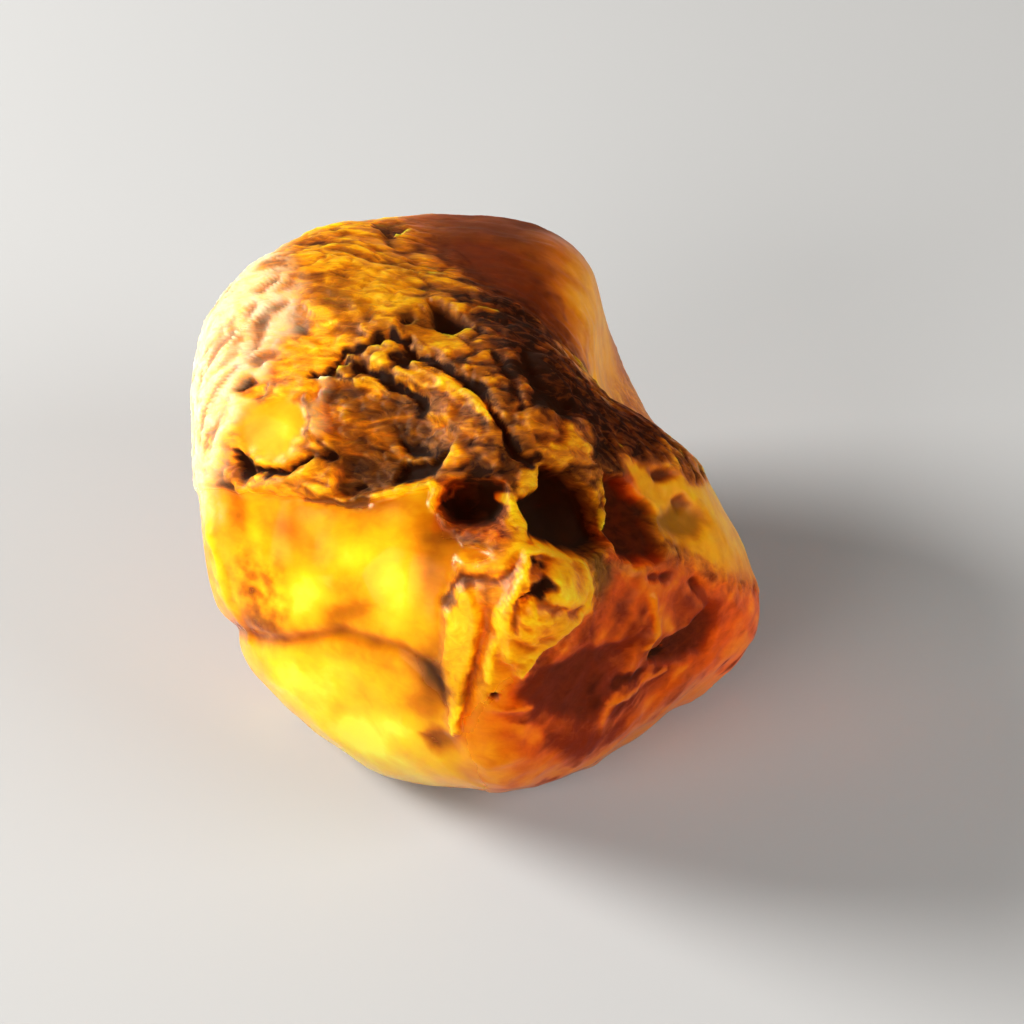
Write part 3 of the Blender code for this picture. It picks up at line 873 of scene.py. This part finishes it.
# %% Clouds and flecks sealed in the resin
# each: across, up, depth of the middle, half sizes across, up and out of the chart
CLOUDS = {
    "cloud_side": (-17.2, -3.6, 3.0, (1.5, 2.4, 1.1)),
    "cloud_left": (-13.8, -8.0, 3.2, (2.4, 1.6, 1.2)),
    "cloud_high": (-9.6, -4.6, 3.4, (1.9, 1.4, 1.2)),
    "cloud_middle": (-6.2, -7.4, 3.4, (1.9, 2.2, 1.3)),
    "cloud_low_left": (-15.2, -14.4, 3.0, (2.0, 1.8, 1.2)),
    "cloud_low": (-11.8, -15.4, 3.2, (1.6, 2.2, 1.2)),
    "cloud_foot": (-9.2, -19.0, 3.0, (2.4, 1.2, 1.1)),
}
FLECKS = {
    "fleck_foot": (-2.6, -18.8, 3.0, (1.3, 0.8, 0.7)),
    "fleck_shade": (-3.2, -14.6, 3.6, (0.8, 2.0, 0.6)),
    "fleck_red_core": (15.8, -12.0, 2.2, (1.7, 1.0, 0.9)),
    "fleck_red_band": (7.4, -14.2, 2.2, (2.4, 1.0, 0.8)),
    "fleck_red_low": (12.6, -16.6, 2.4, (1.5, 0.7, 0.7)),
}
LUMP_CELLS = 16  # cells along each side of a lump's six grids
LUMP_NOISE, LUMP_SIZE = 0.30, 0.9  # how lumpy it is, and across one bump, as parts of its radius

lump_ways, lump_quads = ball_of_directions(LUMP_CELLS)


def under_skin(across, up, depth):
    """The point that lies `depth` millimetres inside the skin at a place on the chart."""
    off = np.hypot(chart[:, 0] - across, chart[:, 1] - up) + OFF_THE_CHART * (1 - worked_side)
    nearest = np.argmin(off)
    return HEART + ways[nearest] * (reach[nearest] - depth)


def sealed_lump(name, across, up, depth, half_sizes):
    """A lumpy ball. Place = middle + half sizes x way x (1 + a little noise), along the chart's axes."""
    middle = under_skin(across, up, depth)
    swell = 1 + LUMP_NOISE * layered(lump_ways + middle, LUMP_SIZE, seed=300, layers=2)
    axes = np.stack([chart_right, chart_up, chart_out])
    return mesh_piece(name, middle + (lump_ways * swell[:, None] * half_sizes) @ axes, lump_quads)


clouds = [sealed_lump(name, *row) for name, row in CLOUDS.items()]
flecks = [sealed_lump(name, *row) for name, row in FLECKS.items()]
print(len(clouds), "clouds and", len(flecks), "flecks of", 2 * len(lump_quads), "triangles each")

# %% [markdown]
# The brown crease across the window is the edge of a flow: one run of resin had skinned over before
# the next covered it, and the skin between them goes inwards like a curtain. It is a flat strip that
# follows the crease. Its profile is a thin oval, carried along the path, and both ends are drawn
# together, so the strip is closed. The pale thread at the foot of the curtain is made the same way.

# %% Strips sealed in the resin
STRIP_STEPS = 60  # ovals along a strip
STRIP_SIDES = 16  # corners around each oval
SMOOTHINGS = 4  # how often a strip's line is averaged with its neighbours
BLUNT = 0.004  # each end stops this part of the way before it would be a point


def sealed_strip(name, path, depth, deep, thin):
    """An oval carried along a path under the skin.

    Place = path + deep cos(t) inwards + thin sin(t) sideways, both times the square root of
    sin(pi u), with t going round the oval and u going from 0 to 1 along the path."""
    path = np.array(path, float)
    lengths = np.concatenate([[0], np.cumsum(np.linalg.norm(np.diff(path, axis=0), axis=1))])
    u = np.linspace(0, 1, STRIP_STEPS)
    walk = [np.interp(u * lengths[-1], lengths, column) for column in path.T]
    line = np.array([under_skin(across, up, depth) for across, up in zip(*walk)])
    for _ in range(SMOOTHINGS):
        line[1:-1] = (line[:-2] + 2 * line[1:-1] + line[2:]) / 4
    inward = unit(HEART - line)
    sideways = unit(np.cross(np.gradient(line, axis=0), inward))
    t = np.linspace(0, 2 * np.pi, STRIP_SIDES, endpoint=False)[:, None]
    taper = np.sqrt(np.sin(np.pi * np.clip(u, BLUNT, 1 - BLUNT)))[:, None, None]
    oval = deep * np.cos(t) * inward[:, None] + thin * np.sin(t) * sideways[:, None]
    ovals = line[:, None] + taper * oval
    number = np.arange(STRIP_STEPS * STRIP_SIDES).reshape(STRIP_STEPS, STRIP_SIDES)
    after = np.roll(number, -1, axis=1)
    sides = np.stack([number[:-1], number[1:], after[1:], after[:-1]], axis=-1).reshape(-1, 4)
    ends = [number[0].tolist(), number[-1, ::-1].tolist()]
    return mesh_piece(name, ovals.reshape(-1, 3), sides, ends)


PALE_LINE = [(-1.4, -15.2), (-1.2, -16.8), (-1.8, -18.6)]  # the thread's path on the chart

flow_veil = sealed_strip("flow_veil", CREASE[1:], depth=3.0, deep=1.4, thin=0.16)
pale_thread = sealed_strip("pale_thread", PALE_LINE, depth=1.1, deep=0.5, thin=0.14)
print("strips: flow_veil and pale_thread,", STRIP_STEPS, "ovals each")

# %% [markdown]
# ## LOOKS
#
# The amber's material needs to know more than the tone at each point: how red or olive its colour is,
# how much it is whitened by the pale rind and by the painted highlight of its gleam, how smooth, and
# how calm, meaning free of grain. These are worked out from the zones once and stored on the mesh as
# attributes, one number for each point. An attribute stays with its point, so the colours sit exactly
# where the relief is.

# %% Numbers that the amber's material reads
def write_attribute(piece, name, values):
    """Stores one number for each point of a piece under a name."""
    stored = piece.data.attributes.new(name, "FLOAT", "POINT")
    stored.data.foreach_set("value", values.astype(np.float32))


EYE_RED = [(-3, 1.6), (2.6, 1.6), (2.8, -3.4), (-2.8, -2.6)]  # round the left hollow
SIDE_RED = [(10.2, 2), (13, 2), (15.2, -5.2), (10.6, -5)]  # round the side hollow
FOOT_LESS_RED = 0.6  # the share of the red that is gone at its foot

crown = spot(across=-8.6, up=16.8, width=4.0, height=2.4)
waist = stroke(STROKES["waist"][0], width=3.0)
# how far each zone's hue lies towards red, which is 1, or towards olive, which is -1
HUES = [
    (red * (1 - FOOT_LESS_RED * foot), 1.0), (patch(EYE_RED, soft=0.5), 0.6), (patch(SIDE_RED), 1.0),
    # the painted shade of the waist is turned a little towards red
    (waist, 0.3),
    (far_lobe * (1 - lobe_glow), 0.3), (curtain, 0.16), (right_rim, 0.16), (patch_masks["olive_dip"], -0.8),
    (patch_masks["brown_hem"], -0.8), (patch_masks["panel"], -0.28), (crown, -0.4),
]
CALM = [
    (window, 1.0), (small_window, 1.0), (worn, 0.5), (red, 0.85), (curtain, 0.5), (far_lobe, 1.0),
    (right_rim, 0.9), (hollow, 1.0),
]
GLASSY = [(window, 1.0), (small_window, 0.3), (red, 0.4), (curtain, 0.5), (right_rim, 0.3)]
RIND_CHALK, CREST_CHALK = 0.2, 0.8  # of the whole rind, and what the crests of its folds add
# the gleam is a painted highlight: a white streak laid into the rind's colour
GLEAM_WHITENESS, GLEAM_WIDTH = 0.9, 0.55  # of the gleam along the rind
LIP_CHALK, LIP_WIDTH = 0.4, 0.32  # of the lip of the bark print


def total(zones, low=0):
    """Every zone times its strength, added up and kept between low and 1."""
    return np.clip(sum(zone * strength for zone, strength in zones), low, 1)


# this attribute holds the rind's own pale white and, along the gleam, a painted highlight
chalk_and_gleam = rind * (RIND_CHALK + CREST_CHALK * smoothstep(rind_folds, low=0.15, high=0.70))
chalk_and_gleam = np.maximum(chalk_and_gleam, GLEAM_WHITENESS * stroke(STROKES["rind_gleam"][0], GLEAM_WIDTH))
chalk_and_gleam = np.maximum(chalk_and_gleam, LIP_CHALK * stroke(STROKES["bark_lip"][0], LIP_WIDTH))
chalk_and_gleam *= (1 - patch_masks["chip"]) * (1 - patch_masks["honey_side"])
looks = {
    "tone": tone,
    "hue": total(HUES, low=-1),
    "chalk_and_gleam": chalk_and_gleam,
    "glassy": total(GLASSY) * (1 - hollow),
    "calm": total(CALM),
}
for name, values in looks.items():
    write_attribute(amber_body, name, values)
    print(f"{name:7s} {values.min():6.2f} to {values.max():5.2f}")

# %% [markdown]
# A material is a little machine of nodes. Four helpers make the wiring short: one adds a node, one
# puts a value or a wire into a socket, one does sums, and one reads an attribute.

# %% Helpers to wire nodes
def add_node(tree, kind, **settings):
    """A new node of that kind, with its settings."""
    node = tree.nodes.new(kind)
    for setting, value in settings.items():
        setattr(node, setting, value)
    return node


def feed(tree, socket, value):
    """Puts a wire from another socket, or a plain value, into a socket."""
    if isinstance(value, bpy.types.NodeSocket):
        tree.links.new(value, socket)
    else:
        socket.default_value = value


def maths(tree, operation, first, second, clamp=False):
    """The result of one sum: ADD, SUBTRACT or MULTIPLY."""
    node = add_node(tree, "ShaderNodeMath", operation=operation, use_clamp=clamp)
    feed(tree, node.inputs[0], first)
    feed(tree, node.inputs[1], second)
    return node.outputs["Value"]


def attribute(tree, name):
    """The number stored under that name at each point."""
    return add_node(tree, "ShaderNodeAttribute", attribute_name=name).outputs["Fac"]


def blend_colours(tree, share, first, second):
    """The first colour where share is 0, the second where it is 1."""
    node = add_node(tree, "ShaderNodeMix", data_type="RGBA")
    for name, value in {"Factor_Float": share, "A_Color": first, "B_Color": second}.items():
        feed(tree, next(socket for socket in node.inputs if socket.identifier == name), value)
    return next(socket for socket in node.outputs if socket.identifier == "Result_Color")


# %% [markdown]
# The tone becomes a colour on a ramp. Three ramps share the tones: honey for most of the stone, a red
# one for the face, and an olive one for its few greenish shadows. The face's red is partly the resin's
# own and partly painted light: the red that light takes on its long way through the thick end of the
# stone. Blue is almost absent from all of them, which is what makes the colours look deep and not
# painted.

# %% The colours of amber, from thin to thick
HONEY_TONES = [
    (0.00, (1.00, 0.76, 0.04)),
    (0.10, (1.00, 0.59, 0.010)),
    (0.26, (0.88, 0.39, 0.004)),
    (0.42, (0.60, 0.18, 0.002)),
    (0.58, (0.30, 0.075, 0.002)),
    (0.76, (0.09, 0.020, 0.001)),
    (0.95, (0.008, 0.002, 0.001)),
]
RED_TONES = [
    (0.00, (1.00, 0.56, 0.010)),
    (0.30, (1.00, 0.26, 0.003)),
    (0.50, (0.68, 0.085, 0.001)),
    (0.70, (0.22, 0.014, 0.000)),
    (0.95, (0.010, 0.001, 0.000)),
]
OLIVE_TONES = [
    (0.00, (1.00, 0.82, 0.08)),
    (0.20, (0.82, 0.48, 0.010)),
    (0.45, (0.36, 0.17, 0.004)),
    (0.95, (0.008, 0.004, 0.001)),
]
# the white of the rind, also used for the painted highlight of its gleam
CHALK_AND_GLEAM = (0.84, 0.72, 0.42, 1)
CLOUD_TONES = [(0.2, (1.00, 0.50, 0.03)), (0.5, (1.00, 0.76, 0.16)), (0.8, (1.00, 0.90, 0.42))]
FLECK_TONES = [(0.3, (0.030, 0.008, 0.003)), (0.7, (0.16, 0.050, 0.012))]


def ramp(tree, value, stops):
    """The colour at that value along a ramp of (position, colour) stops."""
    node = add_node(tree, "ShaderNodeValToRGB")
    elements = node.color_ramp.elements
    while len(elements) < len(stops):
        elements.new(1.0)
    for element, (position, colour) in zip(elements, stops):
        element.position = position
        element.color = (*colour, 1)
    feed(tree, node.inputs["Fac"], value)
    return node.outputs["Color"]


print("tones on the ramps:", len(HONEY_TONES), len(RED_TONES), len(OLIVE_TONES))

# %% [markdown]
# Old resin has a fine grain: a soft mottle, and sharp seams where it wrinkled. Both are too fine for
# the mesh, so they are noise in the material. The clouds and the flecks have the same grain in other
# sizes, so it is made once, as a node group with a place and a scale going in and two values coming
# out. "Seam" uses ridged noise, which has thin bright crests.

# %% A node group for the grain of resin
GRAIN_DETAIL, GRAIN_ROUGHNESS, GRAIN_MIDDLE = 6.0, 0.65, 0.5
SEAM_DETAIL, SEAM_MIDDLE = 4.0, 0.45
SEAM_SCALE = 0.7  # seams are this much coarser than the mottle
WANDER = 1.0  # how far the noise is pushed about by itself


def resin_grain():
    """Grain = layered noise less its middle value. Seam = ridged noise less its middle value."""
    group = bpy.data.node_groups.new("resin_grain", "ShaderNodeTree")
    group.interface.new_socket("Place", in_out="INPUT", socket_type="NodeSocketVector")
    group.interface.new_socket("Scale", in_out="INPUT", socket_type="NodeSocketFloat")
    group.interface.new_socket("Grain", in_out="OUTPUT", socket_type="NodeSocketFloat")
    group.interface.new_socket("Seam", in_out="OUTPUT", socket_type="NodeSocketFloat")
    way_in = add_node(group, "NodeGroupInput")
    way_out = add_node(group, "NodeGroupOutput")
    mottle = add_node(group, "ShaderNodeTexNoise")
    seams = add_node(group, "ShaderNodeTexNoise", noise_type="RIDGED_MULTIFRACTAL")
    for node, detail, scale in ((mottle, GRAIN_DETAIL, 1.0), (seams, SEAM_DETAIL, SEAM_SCALE)):
        feed(group, node.inputs["Vector"], way_in.outputs["Place"])
        feed(group, node.inputs["Scale"], maths(group, "MULTIPLY", way_in.outputs["Scale"], scale))
        node.inputs["Detail"].default_value = detail
        node.inputs["Distortion"].default_value = WANDER
    mottle.inputs["Roughness"].default_value = GRAIN_ROUGHNESS
    feed(group, way_out.inputs["Grain"], maths(group, "SUBTRACT", mottle.outputs["Fac"], GRAIN_MIDDLE))
    feed(group, way_out.inputs["Seam"], maths(group, "SUBTRACT", seams.outputs["Fac"], SEAM_MIDDLE))
    return group


grain_group = resin_grain()


def grain_on(tree, scale, squeeze=1.0):
    """The grain's two values on a piece, its places turned to the creep and squeezed along it."""
    placed = add_node(tree, "ShaderNodeMapping")
    feed(tree, placed.inputs["Vector"], add_node(tree, "ShaderNodeTexCoord").outputs["Object"])
    creep = Vector(CREEP[0] * chart_right + CREEP[1] * chart_up)
    placed.inputs["Rotation"].default_value = creep.rotation_difference(Vector((1, 0, 0))).to_euler()
    placed.inputs["Scale"].default_value = (squeeze / MM, 1 / MM, 1 / MM)
    node = add_node(tree, "ShaderNodeGroup", node_tree=grain_group)
    feed(tree, node.inputs["Place"], placed.outputs["Vector"])
    node.inputs["Scale"].default_value = scale
    return node.outputs["Grain"], node.outputs["Seam"]


print("grain group:", [socket.name for socket in grain_group.interface.items_tree])

# %% [markdown]
# Amber does three things with light at once. Some passes straight through, which is transmission with
# the refractive index of amber. Some wanders inside and comes out elsewhere, warm: that is subsurface
# scattering, and it makes the shaded windows glow. And all of it is coloured by the way it has gone,
# which is volume absorption. Half of each keeps the crust solid and the windows deep. The little
# sheen that is left is tinted, because the worn skin of raw amber is more waxy than polished.

# %% The amber itself
AMBER_IOR = 1.54
STRAIGHT_THROUGH = 0.5  # the share of light that is transmitted
WANDER_LENGTH = 0.02  # metres that red light wanders inside
WANDER_BY_COLOUR = (1.0, 0.55, 0.15)  # green and blue wander less
SHEEN = (0.35, 0.20, 0.07, 1)
SHEEN_LEVEL = 0.12
ABSORBED_TO = (0.97, 0.62, 0.10, 1)  # the colour that white light tends to inside
ABSORPTION = 35.0  # how quickly, per metre
ROUGH, SMOOTH = 0.42, 0.20  # of the crust, and of a clear window
DARK_ROUGHER, DARK_FROM = 1.2, 0.65  # cracks and dark spots are dusty: 1.2 x tone - 0.65 is added
GRAIN_SCALE, GRAIN_SQUEEZE = 1.1, 0.45
GRAIN_TONE, SEAM_SHARE = 0.9, 0.45  # how much the grain changes the tone, and the seams' share of it
CALM_TONE, CALM_BUMP = 0.78, 0.96  # how much of the grain is gone where the amber is calm
CHALK_STREAKS, CHALK_LEVEL = 2.0, 0.75
BUMP_DEPTH, BUMP_STRENGTH = 0.3 * MM, 0.7


def amber_material():
    """Tone + grain picks a colour, the pale rind and the painted highlight of the gleam whiten it, and calm
    places have little grain.
    """
    material = bpy.data.materials.new("raw_amber")
    material.use_nodes = True
    tree = material.node_tree
    shader = tree.nodes["Principled BSDF"]
    calm_here = attribute(tree, "calm")
    grain, seam = grain_on(tree, GRAIN_SCALE, GRAIN_SQUEEZE)
    both = maths(tree, "SUBTRACT", grain, maths(tree, "MULTIPLY", seam, SEAM_SHARE))
    strength = maths(tree, "SUBTRACT", GRAIN_TONE, maths(tree, "MULTIPLY", calm_here, CALM_TONE))
    toned = maths(tree, "ADD", attribute(tree, "tone"), maths(tree, "MULTIPLY", both, strength))
    redness = maths(tree, "MULTIPLY", attribute(tree, "hue"), 1.0, clamp=True)
    greenness = maths(tree, "MULTIPLY", attribute(tree, "hue"), -1.0, clamp=True)
    colour = blend_colours(tree, redness, ramp(tree, toned, HONEY_TONES), ramp(tree, toned, RED_TONES))
    colour = blend_colours(tree, greenness, colour, ramp(tree, toned, OLIVE_TONES))
    streaky = maths(tree, "ADD", maths(tree, "MULTIPLY", grain, CHALK_STREAKS), CHALK_LEVEL)
    whitened = maths(tree, "MULTIPLY", attribute(tree, "chalk_and_gleam"), streaky, clamp=True)
    feed(tree, shader.inputs["Base Color"], blend_colours(tree, whitened, colour, CHALK_AND_GLEAM))
    polish = maths(tree, "MULTIPLY", attribute(tree, "glassy"), ROUGH - SMOOTH)
    darkness = maths(tree, "SUBTRACT", maths(tree, "MULTIPLY", toned, DARK_ROUGHER), DARK_FROM, clamp=True)
    rougher = maths(tree, "ADD", maths(tree, "SUBTRACT", ROUGH, polish), darkness, clamp=True)
    feed(tree, shader.inputs["Roughness"], rougher)
    shader.inputs["IOR"].default_value = AMBER_IOR
    shader.inputs["Specular IOR Level"].default_value = SHEEN_LEVEL
    shader.inputs["Specular Tint"].default_value = SHEEN
    shader.inputs["Transmission Weight"].default_value = STRAIGHT_THROUGH
    shader.inputs["Subsurface Weight"].default_value = 1.0
    shader.inputs["Subsurface Radius"].default_value = WANDER_BY_COLOUR
    shader.inputs["Subsurface Scale"].default_value = WANDER_LENGTH
    bump = add_node(tree, "ShaderNodeBump")
    bump.inputs["Distance"].default_value = BUMP_DEPTH
    bump.inputs["Strength"].default_value = BUMP_STRENGTH
    loud = maths(tree, "SUBTRACT", 1.0, maths(tree, "MULTIPLY", calm_here, CALM_BUMP))
    feed(tree, bump.inputs["Height"], maths(tree, "MULTIPLY", grain, loud))
    feed(tree, shader.inputs["Normal"], bump.outputs["Normal"])
    absorb = add_node(tree, "ShaderNodeVolumeAbsorption")
    absorb.inputs["Color"].default_value = ABSORBED_TO
    absorb.inputs["Density"].default_value = ABSORPTION
    feed(tree, tree.nodes["Material Output"].inputs["Volume"], absorb.outputs["Volume"])
    return material


def give(piece, material, body="root"):
    """Puts a material on a piece and lets it ride on the stone."""
    piece.data.materials.append(material)
    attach(piece, body)


give(amber_body, amber_material())
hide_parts("amber_nugget")
print("amber_body wears raw_amber")

# %% [markdown]
# The sealed things have no polish of their own, because resin wets them all over. A cloud lets light
# through and scatters it softly; its index is almost that of its surroundings, so it has no hard edge.
# A fleck is bark: dark, rough and opaque.

# %% The clouds and the flecks
SEALED_IOR = 1.05
SEALED_ROUGHNESS, ROUGHNESS_SWING = 0.6, 0.3
SEAMS_TOO = 0.2  # the seams' share of the colour
CLOUD_SCALE, FLECK_SCALE = 0.6, 1.6


def sealed_material(name, tones, scale, transmission):
    """Colour from the grain, along a ramp of its own. Roughness = 0.6 + 0.3 x grain."""
    material = bpy.data.materials.new(name)
    material.use_nodes = True
    tree = material.node_tree
    shader = tree.nodes["Principled BSDF"]
    grain, seam = grain_on(tree, scale)
    mixed = maths(tree, "ADD", grain, maths(tree, "MULTIPLY", seam, SEAMS_TOO))
    mixed = maths(tree, "ADD", mixed, GRAIN_MIDDLE)
    feed(tree, shader.inputs["Base Color"], ramp(tree, mixed, tones))
    swing = maths(tree, "MULTIPLY", grain, ROUGHNESS_SWING)
    feed(tree, shader.inputs["Roughness"], maths(tree, "ADD", swing, SEALED_ROUGHNESS))
    shader.inputs["IOR"].default_value = SEALED_IOR
    shader.inputs["Transmission Weight"].default_value = transmission
    return material


milky = sealed_material("milky_resin", CLOUD_TONES, CLOUD_SCALE, transmission=0.5)
bark_brown = sealed_material("bark_brown", FLECK_TONES, FLECK_SCALE, transmission=0.0)
for piece in [*clouds, pale_thread]:
    give(piece, milky)
for piece in [*flecks, flow_veil]:
    give(piece, bark_brown)
print("sealed pieces:", len(clouds) + len(flecks) + 2)

# %% [markdown]
# The stone lies on a plain pale floor. The floor is larger than the picture, so that no edge shows,
# and matt, so that it mirrors nothing.

# %% The floor
FLOOR_HALF = 1500.0  # millimetres
PAPER = (0.31, 0.305, 0.295, 1)
PAPER_ROUGHNESS, PAPER_SHEEN = 0.9, 0.1

floor_corners = np.array([(-1, -1, 0), (1, -1, 0), (1, 1, 0), (-1, 1, 0)]) * FLOOR_HALF
floor = mesh_piece("floor", floor_corners, np.array([[0, 1, 2, 3]]))
paper = bpy.data.materials.new("paper")
paper.use_nodes = True
paper_shader = paper.node_tree.nodes["Principled BSDF"]
paper_shader.inputs["Base Color"].default_value = PAPER
paper_shader.inputs["Roughness"].default_value = PAPER_ROUGHNESS
paper_shader.inputs["Specular IOR Level"].default_value = PAPER_SHEEN
floor.data.materials.append(paper)
print("floor:", 2 * FLOOR_HALF, "mm wide")

# %% [markdown]
# Amber looks best with light from behind. The key light stands to the left and a little behind, low
# enough for its light to go into the stone and out of the windows. A second light on the right wakes
# the red end, and a low wide one in front lifts the shade. The room gives a weak light from all sides.

# %% Soft studio light
ROOM = (1.0, 0.96, 0.91, 1)
ROOM_STRENGTH = 0.12
# each: bearing from the front, height angle in degrees, distance and size in metres, watts
LIGHTS = {
    "key": (-105, 25, 0.60, 0.30, 12.0),
    "red_end": (72, 26, 0.60, 0.40, 3.6),
    "front": (-40, 14, 0.70, 0.50, 7.5),
}

world = bpy.data.worlds.new("studio")
world.use_nodes = True
world.node_tree.nodes["Background"].inputs["Color"].default_value = ROOM
world.node_tree.nodes["Background"].inputs["Strength"].default_value = ROOM_STRENGTH
bpy.context.scene.world = world


def soft_light(name, bearing, height_angle, distance, size, watts):
    """A round lamp that looks at the heart of the stone from a bearing and a height angle."""
    lamp = bpy.data.lights.new(name, "AREA")
    lamp.shape = "DISK"
    lamp.size = size
    lamp.energy = watts
    light = bpy.data.objects.new(name, lamp)
    bpy.context.scene.collection.objects.link(light)
    turn, rise = math.radians(bearing), math.radians(height_angle)
    out = Vector((math.sin(turn) * math.cos(rise), -math.cos(turn) * math.cos(rise), math.sin(rise)))
    light.location = Vector(HEART * MM) + out * distance
    light.rotation_euler = out.to_track_quat("Z", "Y").to_euler()


for name, row in LIGHTS.items():
    soft_light(name, *row)
    print("light:", name)

# %% [markdown]
# The camera looks at the worked face along the chart's own direction, from forty degrees above the
# floor, through a long lens, so that the near end is not swollen. It is moved sideways, not turned, to
# bring the heart of the stone to its place in the picture.

# %% The camera
PICTURE = 1024  # pixels along each side
PIXEL = 0.085 * MM  # metres that a pixel covers at the heart
HEART_ACROSS, HEART_DOWN = 475, 500  # the heart's pixel
LENS, SENSOR = 100.0, 36.0  # millimetres
NEAREST_SEEN = 10.0  # millimetres from the camera

camera_data = bpy.data.cameras.new("camera")
camera_data.lens = LENS
camera_data.sensor_width = SENSOR
camera_data.clip_start = NEAREST_SEEN * MM
camera = bpy.data.objects.new("camera", camera_data)
bpy.context.scene.collection.objects.link(camera)
aside = chart_right * (PICTURE / 2 - HEART_ACROSS) + chart_up * (HEART_DOWN - PICTURE / 2)
distance = PICTURE * PIXEL * LENS / SENSOR
camera.location = Vector(HEART * MM + aside * PIXEL + chart_out * distance)
camera.rotation_euler = Vector(chart_out).to_track_quat("Z", "Y").to_euler()
bpy.context.scene.camera = camera
bpy.context.scene.view_settings.view_transform = "Standard"  # keeps deep yellows deep
print("camera distance:", round(distance, 4), "m")
